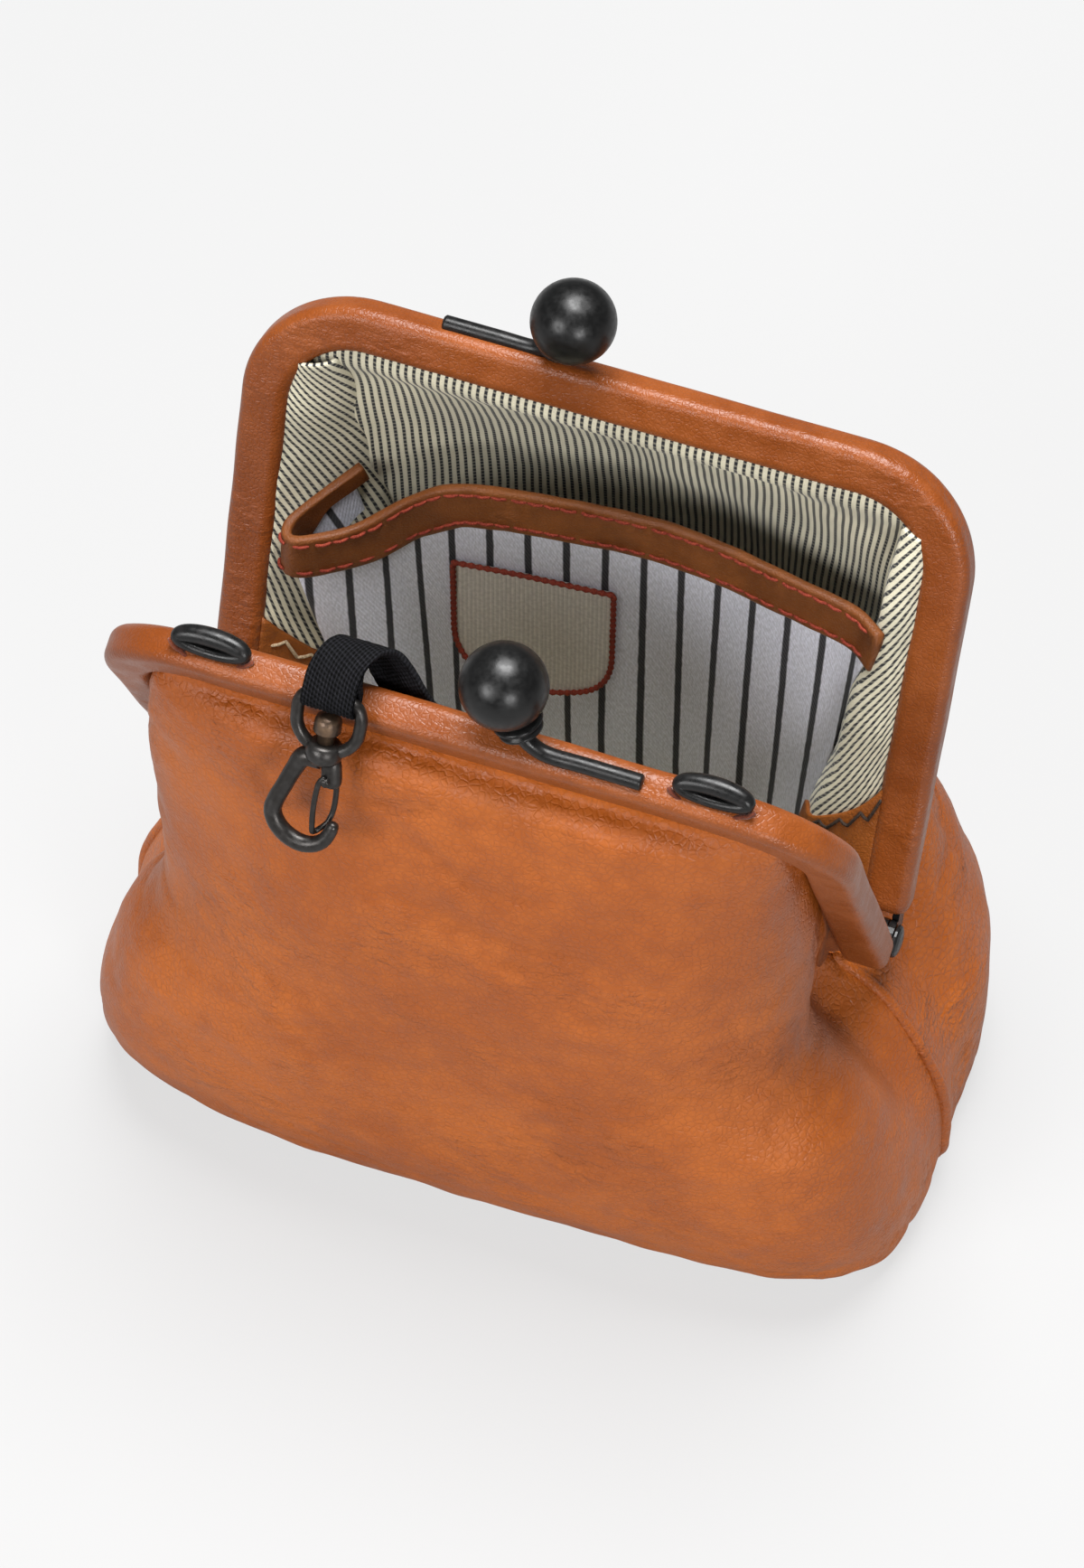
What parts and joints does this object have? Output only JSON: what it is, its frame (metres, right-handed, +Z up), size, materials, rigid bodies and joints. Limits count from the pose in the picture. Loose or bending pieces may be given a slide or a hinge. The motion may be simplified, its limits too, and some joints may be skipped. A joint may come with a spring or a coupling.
{
  "type": "phone pouch",
  "caption": "Soft leather phone pouch with a leather-wrapped kiss-lock frame, ball clasps, striped lining, slip pocket, strap eyelets and a swivel hook on a webbing loop.",
  "frame": {"origin": "middle of the base, on the surface that the pouch stands on", "axes": "+X along the mouth to the right, -Y out of the front panel, +Z up"},
  "size_m": [0.1782, 0.1279, 0.1929],
  "materials": {
    "body_leather": "smooth full-grain leather with a soft sheen",
    "wrap_leather": "smooth leather glued round the frame",
    "binding_leather": "matt leather with a raw flesh side",
    "ticking": "cotton with narrow dotted stripes",
    "twill": "cotton twill with wide stripes",
    "patch_cloth": "ribbed cotton with a stitched edge",
    "black_metal": "satin black",
    "black_ball": "satin black",
    "dark_metal": "dark antique plating",
    "webbing": "ribbed black webbing"
  },
  "bodies": {
    "pouch": {"base_panel": "body_leather", "base_lining": "ticking", "front_panel_lower": "body_leather", "back_panel_lower": "body_leather", "front_lining_lower": "ticking", "back_lining_lower": "ticking", "left_side_facing": "binding_leather", "right_side_facing": "binding_leather"},
    "front_frame": {"front_frame_steel": "black_metal", "front_frame_wrap": "wrap_leather", "front_clasp_arm": "black_metal", "front_clasp_collar": "black_metal", "front_clasp_ball": "black_ball", "left_strap_eyelet": "black_metal", "right_strap_eyelet": "black_metal", "key_strap": "webbing", "front_panel_upper": "body_leather", "front_lining_upper": "ticking"},
    "rear_frame": {"rear_frame_steel": "black_metal", "rear_frame_wrap": "wrap_leather", "rear_clasp_arm": "black_metal", "rear_clasp_collar": "black_metal", "rear_clasp_ball": "black_ball", "right_hinge_rivet": "black_metal", "left_hinge_rivet": "black_metal", "back_panel_upper": "body_leather", "back_lining_upper": "ticking", "slip_pocket": "twill", "pocket_binding": "binding_leather", "pocket_patch": "patch_cloth"},
    "hook_eye": {"hook_eye": "dark_metal"},
    "hook": {"swivel_post": "dark_metal", "hook_body": "dark_metal", "gate_pin": "dark_metal"},
    "gate": {"hook_gate": "dark_metal"}
  },
  "joints": [
    {"name": "rear_frame_hinge", "type": "hinge", "parent": "pouch", "child": "rear_frame", "pos_m": [0, 0, 0.07], "axis": [1, 0, 0], "range_deg": [0, 19.7]},
    {"name": "front_frame_hinge", "type": "hinge", "parent": "pouch", "child": "front_frame", "pos_m": [0, 0, 0.07], "axis": [1, 0, 0], "range_deg": [-24, 0]},
    {"name": "hook_swing", "type": "hinge", "parent": "front_frame", "child": "hook_eye", "pos_m": [-0.0235, -0.05075, 0.16985], "axis": [1, 0, 0], "range_deg": [-100, 0]},
    {"name": "hook_swivel", "type": "hinge", "parent": "hook_eye", "child": "hook", "pos_m": [-0.0235, -0.05075, 0.16985], "axis": [0, 0.4067, 0.9135], "range_deg": [-20, 180]},
    {"name": "gate_hinge", "type": "hinge", "parent": "hook", "child": "gate", "pos_m": [-0.02206, -0.05858, 0.15226], "axis": [0, 0.9135, -0.4067], "range_deg": [0, 25], "stiffness_Nm_per_rad": 0.01, "springref_deg": -11.46}
  ],
  "couplings": [
    {"joint": "front_frame_hinge", "follows": "rear_frame_hinge", "ratio": -1.218}
  ]
}
